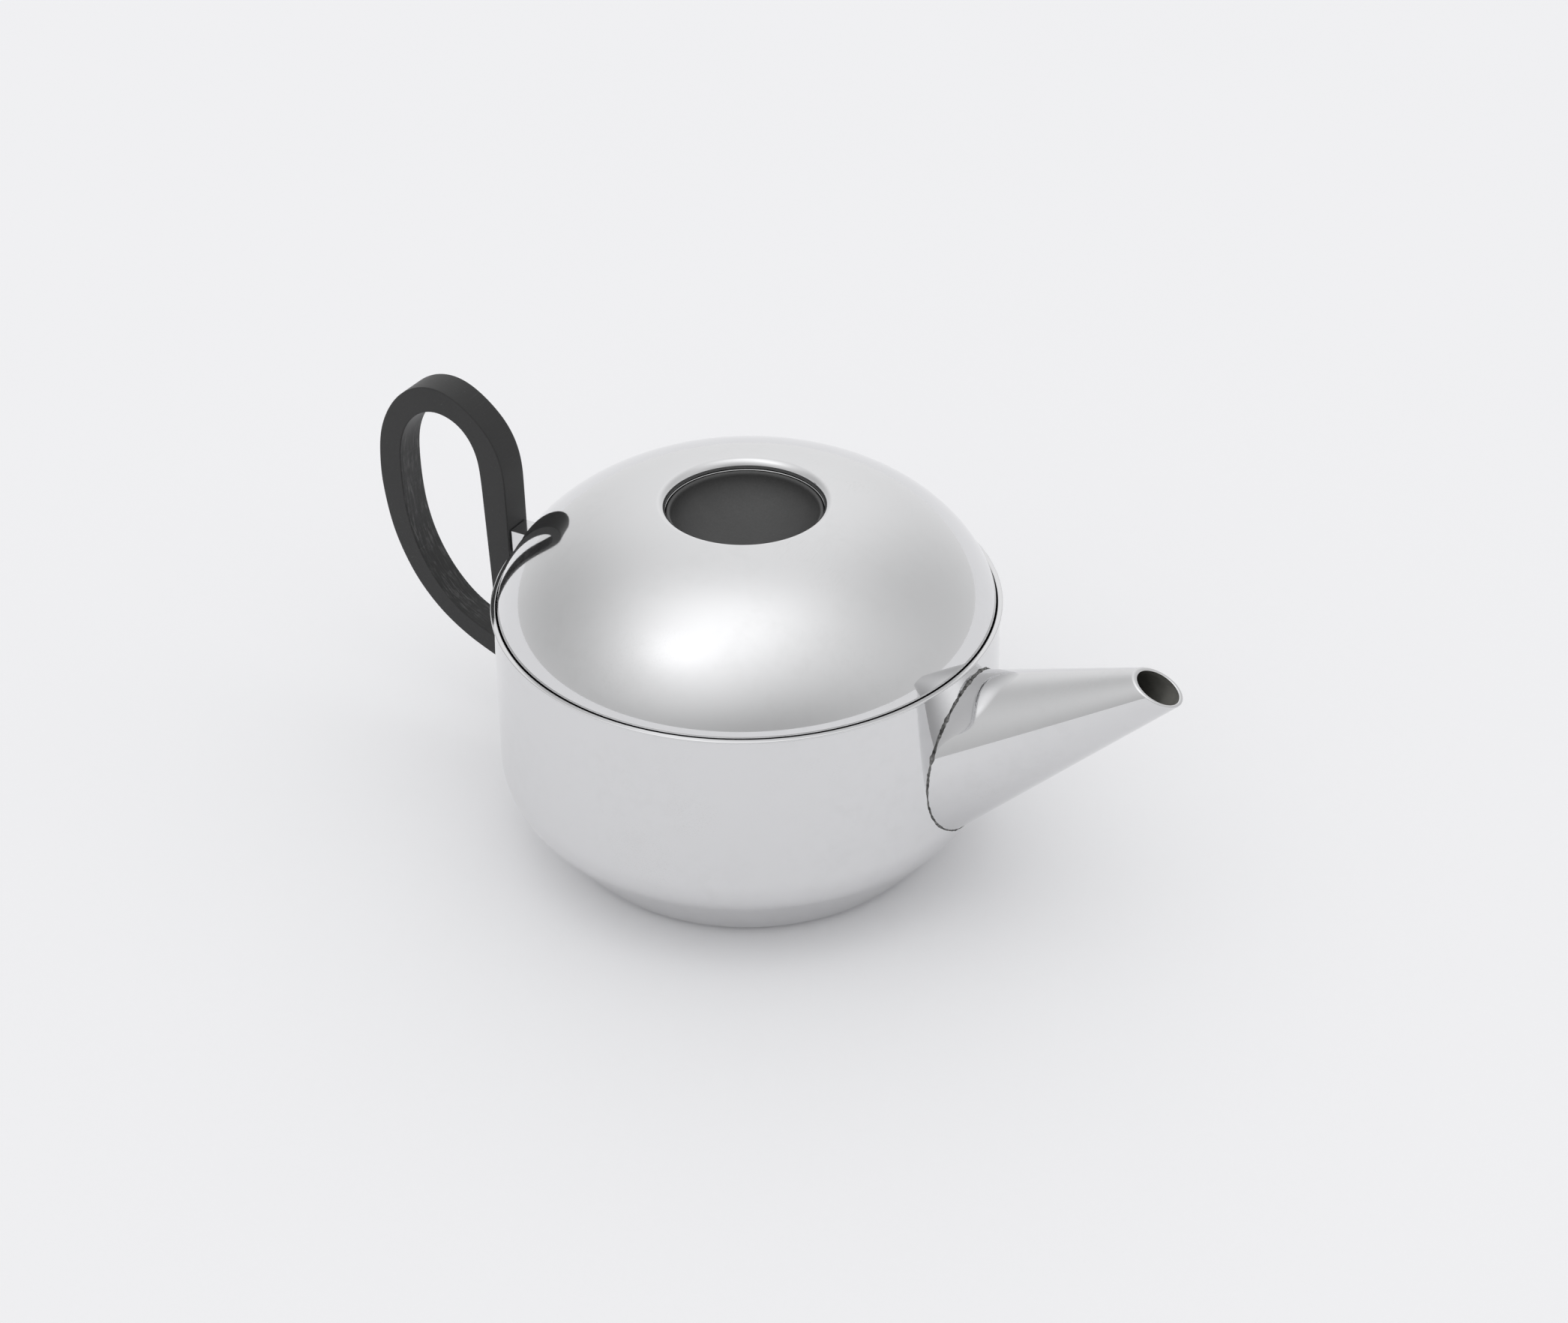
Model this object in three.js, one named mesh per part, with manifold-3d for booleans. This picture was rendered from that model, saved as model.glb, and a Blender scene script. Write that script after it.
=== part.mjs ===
// Round steel teapot with a black moulded loop handle and a domed lift-off lid.
// Millimetres, +Z up, origin at the centre of the flat base. The spout points along +X and the
// handle along -X; the pot is mirror symmetric about the XZ plane.
import * as THREE from 'three';
import * as BufferGeometryUtils from 'three/addons/utils/BufferGeometryUtils.js';
import Module from 'manifold-3d';

const wasm = await Module();
wasm.setup();

// ---------------------------------------------------------------- driving dimensions
const SEG = 60;                 // facets round the large spun pieces
const SEG_S = 36;               // facets round the grip recess
const SEG_F = 12;               // facets round fasteners
const GAP = 0.3;                // air left between fitted neighbours

const RIM_Z = 86;               // height of the pot's rim
const WALL_R = 79.2;            // outer radius of the wall under the rim
const SHOULDER_R = 80.2;        // outer radius where the wall starts to turn in
const SHOULDER_Z = 32.4;        // height of that shoulder
const SHOULDER_BEND = 18.7;     // radius of the shoulder's bend
const CONE_ANG = 38;            // slope of the lower cone from the vertical, degrees
const BASE_BEND = 8;            // radius of the bend into the flat base
const SHELL_T = 1.0;            // sheet thickness of the pot
const RIM_R = 80.0;             // outer radius of the rolled rim
const RIM_H = 1.9;              // height of the rolled rim

const SEAT_Z = 81.9;            // top of the ledge the lid rests on
const SEAT_T = 1.0;
const SEAT_IN_R = 74.0;

const LID_R = 77.85;            // outer radius of the lid's edge
const LID_RISE = 35.0;          // crown height of the dome above the rim if it had no recess
const LID_M = 3.016;            // exponents of the dome curve
const LID_K = 1.424;
const LID_T = 1.0;
const LID_FOOT_Z = SEAT_Z + 0.1;
const HOLE_R = 24.5;            // inside radius of the turned-down collar of the recess
const COLLAR_T = 0.9;
const COLLAR_H = 3.0;

const CUP_R = 24.2;             // black finger cup in the recess
const CUP_T = 2.0;
const CUP_DEPTH = 13.5;
const PAN_T = 0.8;              // steel pan that closes the recess from below

const SPOUT_Z = 57.3;           // height where the spout axis meets the wall
const SPOUT_ANG = 32.8;         // rise of the spout axis, degrees
const SPOUT_R0 = 22.3;          // spout radius there
const SPOUT_R1 = 6.76;          // spout radius at the mouth
const SPOUT_L = 71.8;           // axis length from the wall to the mouth
const SPOUT_CUT = 66.1;         // direction of the mouth's normal above +X, degrees
const SPOUT_T = 1.15;

const HANDLE_W = 11;            // handle width along Y
const BLOCK_W = 8.6;            // steel block between the rim and the handle
const BLOCK_H = 8.0;
const LEG_X = -86.9;            // face of the handle's leg towards the pot
const LEG_IN_X = -96.2;         // face of the leg towards the fingers
const RIM_SCREW_Z = 82.0;
const FOOT_Z = 35.4;            // height of the foot screw

// ---------------------------------------------------------------- materials
const steel = () => new THREE.MeshStandardMaterial({ color: 0xc6c7c9, roughness: 0.16, metalness: 1.0 });
const satin = () => new THREE.MeshStandardMaterial({ color: 0xb4b5b7, roughness: 0.35, metalness: 1.0 });
const black = () => new THREE.MeshStandardMaterial({ color: 0x2e2e2f, roughness: 0.62, metalness: 0.0 });
const brass = () => new THREE.MeshStandardMaterial({ color: 0xb08d4a, roughness: 0.35, metalness: 1.0 });
const rubber = () => new THREE.MeshStandardMaterial({ color: 0x1c1c1d, roughness: 0.8, metalness: 0.0 });

// ---------------------------------------------------------------- geometry helpers
const rad = (d) => d * Math.PI / 180;

// One closed body: shared vertices merged, slivers dropped, faces pointing out.
function closed(geometry) {
  const g = geometry.clone();
  g.deleteAttribute('normal');
  g.deleteAttribute('uv');
  const m = BufferGeometryUtils.mergeVertices(g, 1e-4);
  const p = m.getAttribute('position');
  const src = m.getIndex().array;
  let out = [];
  for (let i = 0; i < src.length; i += 3) {
    const a = src[i], b = src[i + 1], c = src[i + 2];
    if (a !== b && b !== c && c !== a) out.push(a, b, c);
  }
  let vol = 0;
  for (let i = 0; i < out.length; i += 3) {
    const a = out[i], b = out[i + 1], c = out[i + 2];
    const ax = p.getX(a), ay = p.getY(a), az = p.getZ(a);
    const bx = p.getX(b), by = p.getY(b), bz = p.getZ(b);
    const cx = p.getX(c), cy = p.getY(c), cz = p.getZ(c);
    vol += ax * (by * cz - bz * cy) - ay * (bx * cz - bz * cx) + az * (bx * cy - by * cx);
  }
  if (vol < 0) {
    const flipped = [];
    for (let i = 0; i < out.length; i += 3) flipped.push(out[i], out[i + 2], out[i + 1]);
    out = flipped;
  }
  const r = new THREE.BufferGeometry();
  r.setAttribute('position', new THREE.BufferAttribute(new Float32Array(p.array), 3));
  r.setIndex(out);
  return r;
}

function solid(geometry) {
  const c = closed(geometry);
  return new wasm.Manifold(new wasm.Mesh({
    numProp: 3,
    vertProperties: new Float32Array(c.getAttribute('position').array),
    triVerts: new Uint32Array(c.getIndex().array),
  }));
}

function fromSolid(manifold) {
  const m = manifold.getMesh();
  const g = new THREE.BufferGeometry();
  const n = m.numProp, v = new Float32Array(m.vertProperties.length / n * 3);
  for (let i = 0; i < v.length / 3; i++) {
    v[3 * i] = m.vertProperties[n * i];
    v[3 * i + 1] = m.vertProperties[n * i + 1];
    v[3 * i + 2] = m.vertProperties[n * i + 2];
  }
  g.setAttribute('position', new THREE.BufferAttribute(v, 3));
  g.setIndex(Array.from(m.triVerts));
  return g;
}

// Turned piece: profile is a list of [radius, height]; turned about +Z.
function turned(profile, segments) {
  const pts = profile.map(([r, z]) => new THREE.Vector2(Math.max(r, 0), z));
  const g = new THREE.LatheGeometry(pts, segments);
  g.rotateX(Math.PI / 2);
  return g;
}

// Closed ring profile (first point repeated at the end).
const ring = (pts, segments) => turned([...pts, pts[0]], segments);

// Turned about an axis along X: profile is a list of [radius, x].
function turnedX(profile, segments, y, z) {
  const g = turned(profile, segments);
  g.rotateY(Math.PI / 2);         // +Z becomes +X
  g.translate(0, y, z);
  return g;
}

function mesh(name, geometry, material) {
  const g = closed(geometry);
  g.computeVertexNormals();
  const m = new THREE.Mesh(g, material);
  m.name = name;
  return m;
}


// ---------------------------------------------------------------- pot profile
// Outer curve of the pot from the base edge up to the rim, moved out by d.
function potOuter(d, n) {
  const phi = rad(CONE_ANG), pts = [];
  const sx = SHOULDER_R - SHOULDER_BEND;
  const r1 = sx + SHOULDER_BEND * Math.cos(phi), z1 = SHOULDER_Z - SHOULDER_BEND * Math.sin(phi);
  const z0 = BASE_BEND - BASE_BEND * Math.sin(phi);
  const r0 = r1 - (z1 - z0) * Math.tan(phi);
  const bx = r0 - BASE_BEND * Math.cos(phi);
  for (let i = 0; i <= n; i++) {
    const t = Math.PI / 2 + (phi - Math.PI / 2) * (i / n);
    pts.push([bx + BASE_BEND * Math.cos(t), BASE_BEND - BASE_BEND * Math.sin(t)]);
  }
  for (let i = 0; i <= n + 1; i++) {
    const t = phi * (1 - i / (n + 1));
    pts.push([sx + SHOULDER_BEND * Math.cos(t), SHOULDER_Z - SHOULDER_BEND * Math.sin(t)]);
  }
  pts.push([WALL_R, RIM_Z - RIM_H - 0.3]);
  if (d === 0) return pts;
  return pts.map(([r, z], i) => {
    const a = pts[Math.max(i - 1, 0)], b = pts[Math.min(i + 1, pts.length - 1)];
    let tx = b[0] - a[0], tz = b[1] - a[1];
    if (i === 0) { tx = 1; tz = 0; }
    const l = Math.hypot(tx, tz);
    return [r + d * tz / l, z - d * tx / l];
  });
}

const group = new THREE.Group();
group.name = 'teapot';

// ---------------------------------------------------------------- body shell
{
  const outer = potOuter(0, 3);
  const inner = potOuter(-SHELL_T, 3);
  const innerWall = WALL_R - SHELL_T;
  const profile = [
    [0, 0], ...outer,
    [RIM_R, RIM_Z - RIM_H + 0.1],
    [RIM_R, RIM_Z - 0.5],
    [RIM_R - 0.45, RIM_Z],
    [innerWall + 0.55, RIM_Z],
    [innerWall + 0.15, RIM_Z - 0.35],
    [innerWall + 0.15, RIM_Z - RIM_H - 0.3],
    ...inner.reverse().slice(1), [0, SHELL_T],
  ];
  let s = solid(turned(profile, SEG));
  // pouring holes drilled through the wall behind the spout
  const rows = [[-16, [-5, 5]], [-8, [-10, 0, 10]], [0, [-14.5, -5, 5, 14.5]], [8, [-10, 0, 10]], [15.5, [-5, 5]]];
  for (const [dz, ys] of rows) {
    for (const y of ys) {
      s = s.subtract(solid(turnedX([[0, 74], [2.6, 74], [2.6, 84], [0, 84]], 12, y, SPOUT_Z - 2 + dz)));
    }
  }
  // hole for the foot screw
  s = s.subtract(solid(turnedX([[0, -84], [2.3, -84], [2.3, -74], [0, -74]], SEG_F, 0, FOOT_Z)));
  group.add(mesh('body_shell', fromSolid(s), steel()));
}

// envelope of the pot, used to trim the pieces that butt against it
const envelope = solid(turned([
  [0, -5], [50, -5], ...potOuter(GAP, 3).slice(1), [RIM_R + GAP, RIM_Z - RIM_H - 0.5], [RIM_R + GAP, RIM_Z + 4], [0, RIM_Z + 4],
], SEG));

// ---------------------------------------------------------------- ledge for the lid
group.add(mesh('lid_seat_ring', ring([
  [SEAT_IN_R, SEAT_Z - SEAT_T], [SEAT_IN_R, SEAT_Z], [77.9, SEAT_Z], [77.9, SEAT_Z - 4.2],
  [76.9, SEAT_Z - 4.2], [76.9, SEAT_Z - SEAT_T],
], SEG), satin()));

// ---------------------------------------------------------------- spout
{
  const a = rad(SPOUT_ANG), k = (SPOUT_R1 - SPOUT_R0) / SPOUT_L;
  const s0 = -26, s1 = SPOUT_L + 9;
  const rr = (s) => SPOUT_R0 + k * s;
  const place = (g) => {
    g.rotateY(Math.PI / 2 - a);   // +Z turned onto the spout's axis
    g.translate(WALL_R, 0, SPOUT_Z);
    return g;
  };
  const outer = solid(place(turned([[0, s0], [rr(s0), s0], [rr(s1), s1], [0, s1]], 56)));
  const bore = solid(place(turned([[0, s0 - 2], [rr(s0 - 2) - SPOUT_T, s0 - 2], [rr(s1 + 2) - SPOUT_T, s1 + 2], [0, s1 + 2]], 56)));
  // slanted mouth: everything beyond the cutting plane is removed
  const mx = WALL_R + Math.cos(a) * SPOUT_L, mz = SPOUT_Z + Math.sin(a) * SPOUT_L;
  const cut = new THREE.BoxGeometry(60, 60, 60);
  cut.translate(0, 0, 30);
  cut.rotateY(Math.PI / 2 - rad(SPOUT_CUT));
  cut.translate(mx, 0, mz);
  const s = outer.subtract(bore).subtract(solid(cut)).subtract(envelope);
  group.add(mesh('spout_cone', fromSolid(s), steel()));
}

// ---------------------------------------------------------------- handle
// Outline points are [x, height above the rim].
const OUTER = [
  [-72, -57.6], [-80, -55.6], [-89.5, -53.2], [-98.5, -50.0], [-108.2, -45.6], [-118.3, -38.4], [-127.3, -27.6],
  [-134.0, -12.6], [-136.9, 4.0], [-136.9, 15.2], [-135.6, 24.5], [-132.4, 32.3], [-128.2, 38.4],
  [-123.4, 42.6], [-117.8, 45.3], [-111.5, 46.1], [-105.4, 44.6], [-98.7, 40.5], [-92.4, 34.5],
  [-88.7, 27.8], [-87.1, 20.6], [LEG_X, 12],
];
const INNER = [
  [LEG_IN_X, 14], [-96.7, 22.3], [-97.9, 27.2], [-100.5, 31.9], [-104.8, 35.7], [-111.4, 37.5], [-116.6, 36.6],
  [-120.6, 34.2], [-124.0, 30.6], [-126.8, 25.2], [-128.3, 18.5], [-128.6, 6.1], [-127.5, -5.9], [-124.4, -16.9],
  [-118.9, -27.0], [-111.7, -35.0], [-105.0, -39.3], [-98.2, -42.2],
];
const spline = (pts, n) => new THREE.SplineCurve(pts.map(([x, z]) => new THREE.Vector2(x, z))).getPoints(n);
{
  const shape = new THREE.Shape();
  const o = spline(OUTER, 46);
  shape.moveTo(o[0].x, o[0].y);
  o.slice(1).forEach((v) => shape.lineTo(v.x, v.y));
  // leg, down to the fillet over the foot
  [[LEG_X, -38], [-86.3, -41.6], [-84.6, -44.2], [-82.0, -45.6], [-72, -46.6]].forEach(([x, z]) => shape.lineTo(x, z));
  shape.closePath();
  const hole = new THREE.Path();
  const i = spline(INNER, 40);
  hole.moveTo(i[0].x, i[0].y);
  i.slice(1).forEach((v) => hole.lineTo(v.x, v.y));
  hole.lineTo(-95.0, -43.0);
  hole.lineTo(-94.4, -42.4);
  hole.lineTo(-94.5, -38);
  hole.closePath();
  shape.holes.push(hole);
  const g = new THREE.ExtrudeGeometry(shape, { depth: HANDLE_W, bevelEnabled: false, steps: 1 });
  g.rotateX(Math.PI / 2);
  g.translate(0, HANDLE_W / 2, RIM_Z);
  let s = solid(g).subtract(envelope);
  // counterbore and clearance hole for the screw into the steel block
  s = s.subtract(solid(turnedX([[0, -100], [4.0, -100], [4.0, -92.6], [2.3, -92.6], [2.3, -84], [0, -84]], SEG_F, 0, RIM_SCREW_Z)));
  // pocket for the threaded insert at the foot
  s = s.subtract(solid(turnedX([[0, -91.2], [3.5, -91.2], [3.5, -74], [0, -74]], SEG_F, 0, FOOT_Z)));
  group.add(mesh('handle_loop', fromSolid(s), black()));
}

// ---------------------------------------------------------------- steel block at the rim
{
  const g = new THREE.BoxGeometry(14, BLOCK_W, BLOCK_H);
  g.translate(LEG_X + 0.1 + 7, 0, RIM_Z - BLOCK_H / 2);
  const hole = turnedX([[0, -90], [2.3, -90], [2.3, -81.6], [0, -81.6]], SEG_F, 0, RIM_SCREW_Z);
  const s = solid(g).subtract(envelope).subtract(solid(hole));
  group.add(mesh('rim_block', fromSolid(s), steel()));
}

// screw through the leg into the block
group.add(mesh('rim_screw', turnedX([
  [0, -94.9], [1.4, -94.9], [1.4, -96.0], [3.5, -96.0], [3.5, -93.7], [2.0, -93.7], [2.0, -82.0], [0, -82.0],
], SEG_F, 0, RIM_SCREW_Z), satin()));
group.add(mesh('rim_screw_washer', turnedX([
  [2.25, -93.55], [3.7, -93.55], [3.7, -92.75], [2.25, -92.75], [2.25, -93.55],
], SEG_F, 0, RIM_SCREW_Z), satin()));

// ---------------------------------------------------------------- foot fixing, screwed from inside the pot
group.add(mesh('foot_insert', turnedX([
  [2.2, -90.8], [3.2, -90.8], [3.2, -81.0], [2.2, -81.0], [2.2, -90.8],
], SEG_F, 0, FOOT_Z), brass()));
group.add(mesh('foot_seal', turnedX([
  [2.3, -78.75], [5.2, -78.75], [5.2, -77.55], [2.3, -77.55], [2.3, -78.75],
], SEG_F, 0, FOOT_Z), rubber()));
group.add(mesh('foot_washer', turnedX([
  [2.3, -77.45], [5.0, -77.45], [5.0, -76.55], [2.3, -76.55], [2.3, -77.45],
], SEG_F, 0, FOOT_Z), satin()));
group.add(mesh('foot_screw', turnedX([
  [0, -89.5], [2.0, -89.5], [2.0, -76.4], [3.9, -76.4], [3.5, -74.6], [1.4, -74.1], [1.4, -75.1], [0, -75.1],
], SEG_F, 0, FOOT_Z), satin()));

// ---------------------------------------------------------------- lid
const domeZ = (r) => RIM_Z + LID_RISE * Math.pow(Math.max(0, 1 - Math.pow(r / LID_R, LID_M)), 1 / LID_K);
const collarTop = domeZ(HOLE_R + COLLAR_T + 0.5) - 0.1;
const collarFoot = collarTop - COLLAR_H;
{
  const rs = [77.6, 76.4, 74, 70, 64, 56, 46, 35, HOLE_R + COLLAR_T + 0.6];
  const outer = [[LID_R, LID_FOOT_Z], [LID_R, RIM_Z], ...rs.map((r) => [r, domeZ(r)])];
  const off = outer.map(([r, z], i) => {
    const a = outer[Math.max(i - 1, 0)], b = outer[Math.min(i + 1, outer.length - 1)];
    const tx = b[0] - a[0], tz = b[1] - a[1], l = Math.hypot(tx, tz);
    return [r - LID_T * tz / l, z + LID_T * tx / l];
  });
  off[0][1] = LID_FOOT_Z;
  off.pop();
  const profile = [
    ...outer,
    [HOLE_R + 0.35, collarTop - 0.15], [HOLE_R, collarTop - 0.7],
    [HOLE_R, collarFoot], [HOLE_R + COLLAR_T, collarFoot], [HOLE_R + COLLAR_T, collarTop - 1.3],
    ...off.reverse(),
  ];
  group.add(mesh('lid_dome', ring(profile, SEG), steel()));
}
group.add(mesh('lid_locating_ring', ring([
  [72.4, 75.6], [73.4, 75.6], [73.4, SEAT_Z + 0.2], [76.5, SEAT_Z + 0.2], [76.5, SEAT_Z + 1.2], [72.4, SEAT_Z + 1.2],
], SEG), satin()));

// black finger cup set in the recess, with the steel pan below it
const cupTop = collarFoot - 0.35;
{
  const R = CUP_R, inR = CUP_R - 1.3;
  const up = [];
  for (let i = 0; i <= 5; i++) {
    const t = (i / 5) * Math.PI / 2;
    const r = 6 + (inR - 6) * Math.sin(t);
    up.push([r, cupTop - 0.5 - (CUP_DEPTH - 0.5) * Math.cos(t)]);
  }
  const down = [];
  for (let i = 5; i >= 0; i--) {
    const t = (i / 5) * Math.PI / 2;
    const r = 6.5 + (R - 6.5) * Math.sin(t);
    down.push([r, cupTop - 1.6 - (CUP_DEPTH + CUP_T - 1.6) * Math.cos(t)]);
  }
  const profile = [[0, cupTop - CUP_DEPTH], ...up, [R - 0.9, cupTop], [R - 0.2, cupTop], [R, cupTop - 0.3], ...down, [0, cupTop - CUP_DEPTH - CUP_T]];
  let s = solid(turned(profile, SEG_S));
  // boss underneath with a pocket for the threaded insert
  const zb = cupTop - CUP_DEPTH - CUP_T;
  s = s.add(solid(turned([[0, zb - 4.2], [5.5, zb - 4.2], [5.5, zb + 0.5], [0, zb + 0.5]], 24)));
  s = s.subtract(solid(turned([[0, zb - 6], [3.0, zb - 6], [3.0, zb - 0.2], [0, zb - 0.2]], SEG_F)));
  group.add(mesh('grip_cup', fromSolid(s), black()));
  group.add(mesh('grip_insert', turned([
    [1.95, zb - 4.2], [2.75, zb - 4.2], [2.75, zb - 0.5], [1.95, zb - 0.5], [1.95, zb - 4.2],
  ], SEG_F), brass()));

  // steel pan: follows the cup's underside, collar at the top outside the lid's collar
  const P = CUP_R + 0.35, top = collarFoot - 0.3;
  const panFloor = zb - 4.2 - 0.35;
  const pin = [], pout = [];
  for (let i = 0; i <= 5; i++) {
    const t = (i / 5) * Math.PI / 2;
    pin.push([9 + (P - 9) * Math.sin(t), top - 2.2 - (top - 2.2 - panFloor) * Math.cos(t)]);
    pout.push([9 + (P + PAN_T - 9) * Math.sin(t), top - 2.2 - (top - 2.2 - panFloor + PAN_T) * Math.cos(t)]);
  }
  const pan = [
    [2.5, panFloor - PAN_T], ...pout, [P + PAN_T, top], [P, top], ...pin.reverse(), [2.5, panFloor],
  ];
  group.add(mesh('grip_pan', ring(pan, SEG_S), satin()));
  const f = panFloor - PAN_T;
  group.add(mesh('grip_seal', turned([[2.4, f - 0.1], [5.6, f - 0.1], [5.6, f - 1.1], [2.4, f - 1.1], [2.4, f - 0.1]], SEG_F), rubber()));
  group.add(mesh('grip_washer', turned([[2.4, f - 1.2], [5.2, f - 1.2], [5.2, f - 2.0], [2.4, f - 2.0], [2.4, f - 1.2]], SEG_F), satin()));
  group.add(mesh('grip_screw', turned([
    [0, zb - 0.9], [1.75, zb - 0.9], [1.75, f - 2.1], [3.6, f - 2.1], [3.2, f - 3.7], [1.3, f - 4.2], [1.3, f - 3.3], [0, f - 3.3],
  ], SEG_F), satin()));
}

export default group;
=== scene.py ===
import math

import bmesh
import bpy
import numpy as np
from mathutils import Matrix, Vector


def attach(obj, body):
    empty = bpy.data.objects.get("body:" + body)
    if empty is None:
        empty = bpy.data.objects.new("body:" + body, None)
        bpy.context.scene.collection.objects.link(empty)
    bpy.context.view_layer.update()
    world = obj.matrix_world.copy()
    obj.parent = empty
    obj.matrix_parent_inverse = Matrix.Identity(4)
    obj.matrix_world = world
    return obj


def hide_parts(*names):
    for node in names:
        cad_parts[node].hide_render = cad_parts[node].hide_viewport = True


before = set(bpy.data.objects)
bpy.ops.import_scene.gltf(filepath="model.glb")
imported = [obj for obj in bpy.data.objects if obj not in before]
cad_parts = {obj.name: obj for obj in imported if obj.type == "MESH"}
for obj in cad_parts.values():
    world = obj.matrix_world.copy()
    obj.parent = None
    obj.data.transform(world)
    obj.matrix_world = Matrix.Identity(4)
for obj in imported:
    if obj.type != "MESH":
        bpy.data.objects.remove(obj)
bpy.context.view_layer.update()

# ------------------------------------------------------------------ dimensions, millimetres
MM = 0.001
SEG = 192
RIM_Z = 86.0
WALL_R = 79.2
SHOULDER_R, SHOULDER_Z, SHOULDER_BEND = 80.2, 32.4, 18.7
CONE_ANG, BASE_BEND = math.radians(38), 8.0
SHELL_T = 1.0
SEAT_Z = 81.9
LID_R, LID_RISE, LID_M, LID_K = 77.98, 35.0, 3.016, 1.424
LID_T = 1.0
HOLE_R = 24.5
SPOUT_Z, SPOUT_ANG = 57.3, math.radians(32.8)
SPOUT_R0, SPOUT_R1, SPOUT_L, SPOUT_CUT, SPOUT_T = 22.3, 6.76, 71.8, math.radians(66.1), 1.15
HANDLE_W = 11.0
LEG_X, LEG_IN_X = -86.9, -96.2
RIM_SCREW_Z, FOOT_Z = 82.0, 35.4
AZ = math.radians(31.2)


# ------------------------------------------------------------------ node helpers
class Nodes:
    """A small wrapper that keeps the material code short."""

    def __init__(self, tree):
        self.t = tree
        tree.nodes.clear()
        self.x = 0

    def new(self, kind, **props):
        n = self.t.nodes.new(kind)
        n.location = (self.x, 0)
        self.x += 180
        for k, v in props.items():
            setattr(n, k, v)
        return n

    def put(self, socket, value):
        if isinstance(value, bpy.types.NodeSocket):
            self.t.links.new(value, socket)
        else:
            socket.default_value = value

    def math(self, op, a, b=0.0, c=None, clamp=False):
        n = self.new("ShaderNodeMath", operation=op, use_clamp=clamp)
        self.put(n.inputs[0], a)
        self.put(n.inputs[1], b)
        if c is not None:
            self.put(n.inputs[2], c)
        return n.outputs[0]

    def vec(self, op, a, b=(0, 0, 0)):
        n = self.new("ShaderNodeVectorMath", operation=op)
        self.put(n.inputs[0], a)
        self.put(n.inputs[1], b)
        return n.outputs["Value"] if op in ("DOT_PRODUCT", "LENGTH", "DISTANCE") else n.outputs["Vector"]

    def coords(self):
        return self.new("ShaderNodeTexCoord").outputs["Object"]

    def mapping(self, v, scale=(1, 1, 1), rot=(0, 0, 0), loc=(0, 0, 0)):
        n = self.new("ShaderNodeMapping")
        self.put(n.inputs["Vector"], v)
        n.inputs["Scale"].default_value = scale
        n.inputs["Rotation"].default_value = rot
        n.inputs["Location"].default_value = loc
        return n.outputs[0]

    def noise(self, v, scale, detail=3.0, rough=0.55, dist=0.0):
        n = self.new("ShaderNodeTexNoise")
        self.put(n.inputs["Vector"], v)
        n.inputs["Scale"].default_value = scale
        n.inputs["Detail"].default_value = detail
        n.inputs["Roughness"].default_value = rough
        n.inputs["Distortion"].default_value = dist
        return n.outputs[0]

    def ramp(self, v, lo, hi, a=0.0, b=1.0, smooth=False):
        n = self.new("ShaderNodeMapRange")
        if smooth:
            n.interpolation_type = "SMOOTHSTEP"
        self.put(n.inputs[0], v)
        n.inputs[1].default_value = lo
        n.inputs[2].default_value = hi
        n.inputs[3].default_value = a
        n.inputs[4].default_value = b
        return n.outputs[0]

    def mix(self, f, a, b):
        n = self.new("ShaderNodeMix", data_type="RGBA")
        self.put(n.inputs[0], f)
        self.put(n.inputs[6], a)
        self.put(n.inputs[7], b)
        return n.outputs[2]

    def bump(self, h, distance, strength=1.0, normal=None):
        n = self.new("ShaderNodeBump")
        n.inputs["Strength"].default_value = strength
        n.inputs["Distance"].default_value = distance
        self.put(n.inputs["Height"], h)
        if normal is not None:
            self.put(n.inputs["Normal"], normal)
        return n.outputs[0]

    def bsdf(self, color, rough, metallic, normal=None, **more):
        n = self.new("ShaderNodeBsdfPrincipled")
        self.put(n.inputs["Base Color"], color)
        self.put(n.inputs["Roughness"], rough)
        n.inputs["Metallic"].default_value = metallic
        if normal is not None:
            self.put(n.inputs["Normal"], normal)
        for k, v in more.items():
            n.inputs[k].default_value = v
        out = self.new("ShaderNodeOutputMaterial")
        self.t.links.new(n.outputs[0], out.inputs[0])
        return n


def material(name):
    m = bpy.data.materials.new(name)
    m.use_nodes = True
    return m, Nodes(m.node_tree)


def gray(v, b=1.0):
    return (v, v, v * b, 1.0)


def radial(n, co):
    """Distance from the turning axis, and height, as a vector for marks that run round a turned piece."""
    s = n.new("ShaderNodeSeparateXYZ")
    n.put(s.inputs[0], co)
    r2 = n.math("ADD", n.math("MULTIPLY", s.outputs[0], s.outputs[0]), n.math("MULTIPLY", s.outputs[1], s.outputs[1]))
    r = n.math("SQRT", r2)
    c = n.new("ShaderNodeCombineXYZ")
    n.put(c.inputs[0], r)
    n.put(c.inputs[2], s.outputs[2])
    return c.outputs[0], r, s.outputs[2]


def hairlines(n, co, mask, across=2600, along=60, seeds=((0.3, 0.2, 0.5), (1.1, 0.7, 2.0), (2.2, 1.9, 0.9)), lo=0.63, hi=0.72):
    """Fine scratches in a few directions, kept to where mask is high."""
    total = None
    for rx, ry, rz in seeds:
        v = n.mapping(co, scale=(across, along, across), rot=(rx, ry, rz), loc=(rx, ry, rz))
        h = n.ramp(n.noise(v, 1.0, detail=1.0), lo, hi)
        total = h if total is None else n.math("MAXIMUM", total, h)
    return n.math("MULTIPLY", total, mask)


def spot(n, co, centre, radius):
    d = n.vec("DISTANCE", co, tuple(c * MM for c in centre))
    return n.ramp(d, radius * MM * 0.35, radius * MM, 1.0, 0.0, smooth=True)


STEEL_F0 = 0.735


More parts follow.
